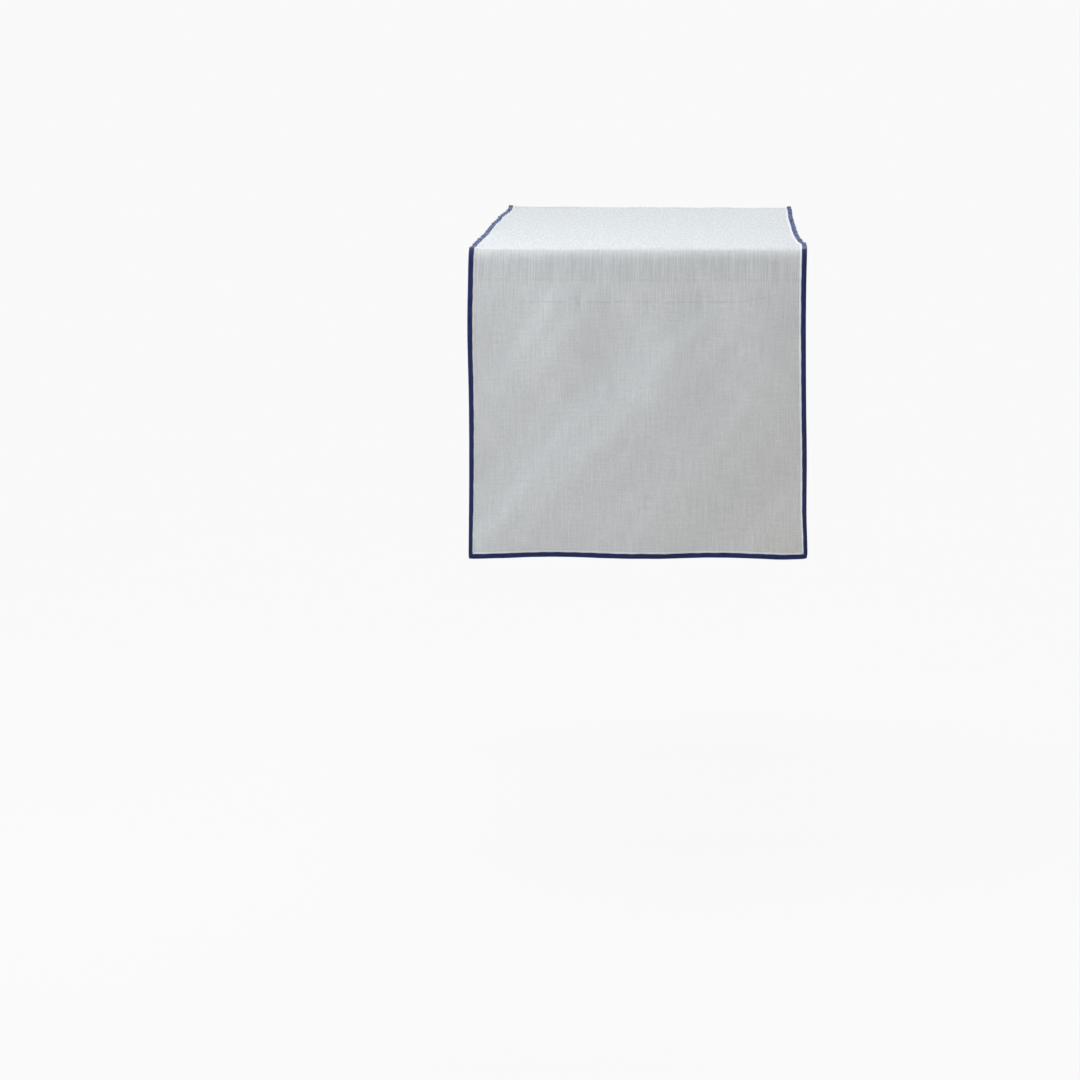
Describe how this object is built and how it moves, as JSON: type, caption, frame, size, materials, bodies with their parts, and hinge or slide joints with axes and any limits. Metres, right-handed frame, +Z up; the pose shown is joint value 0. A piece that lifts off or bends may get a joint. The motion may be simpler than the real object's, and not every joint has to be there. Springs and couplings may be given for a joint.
{
  "type": "table runner",
  "caption": "White linen table runner with a narrow blue bound edge, draped across a table so that a drop hangs at the front and at the back.",
  "frame": {"origin": "on the table's surface, under the middle of the runner: the centre of the cloth's underside", "axes": "+Z up from the table. The runner's length goes along Y and its width along X. The front drop hangs on the -Y side, the back drop on the +Y side, and +X is to the right seen from the front"},
  "size_m": [0.4, 1.0814, 0.3676],
  "materials": {
    "linen": "matt plain-weave linen, cool white, with slubs",
    "binding_tape": "matt woven tape, deep blue",
    "sewing_thread": "spun thread, deep blue, slight sheen"
  },
  "bodies": {
    "top": {"linen_top": "linen", "binding_left_top": "binding_tape", "stitching_left_top": "sewing_thread", "binding_right_top": "binding_tape", "stitching_right_top": "sewing_thread", "linen_front_turn": "linen", "binding_left_front_turn": "binding_tape", "stitching_left_front_turn": "sewing_thread", "binding_right_front_turn": "binding_tape", "stitching_right_front_turn": "sewing_thread", "linen_back_turn": "linen", "binding_left_back_turn": "binding_tape", "stitching_left_back_turn": "sewing_thread", "binding_right_back_turn": "binding_tape", "stitching_right_back_turn": "sewing_thread"},
    "front_drop": {"linen_front_drop": "linen", "binding_left_front_drop": "binding_tape", "stitching_left_front_drop": "sewing_thread", "binding_right_front_drop": "binding_tape", "stitching_right_front_drop": "sewing_thread", "binding_front_hem": "binding_tape", "stitching_front_hem": "sewing_thread"},
    "back_drop": {"linen_back_drop": "linen", "binding_left_back_drop": "binding_tape", "stitching_left_back_drop": "sewing_thread", "binding_right_back_drop": "binding_tape", "stitching_right_back_drop": "sewing_thread", "binding_back_hem": "binding_tape", "stitching_back_hem": "sewing_thread"}
  },
  "joints": [
    {"name": "front_fold", "type": "hinge", "parent": "top", "child": "front_drop", "pos_m": [0, -0.53656, -0.00124], "axis": [-1, 0, 0], "range_deg": [0, 90]},
    {"name": "back_fold", "type": "hinge", "parent": "top", "child": "back_drop", "pos_m": [0, 0.53656, -0.00124], "axis": [1, 0, 0], "range_deg": [0, 90]}
  ]
}
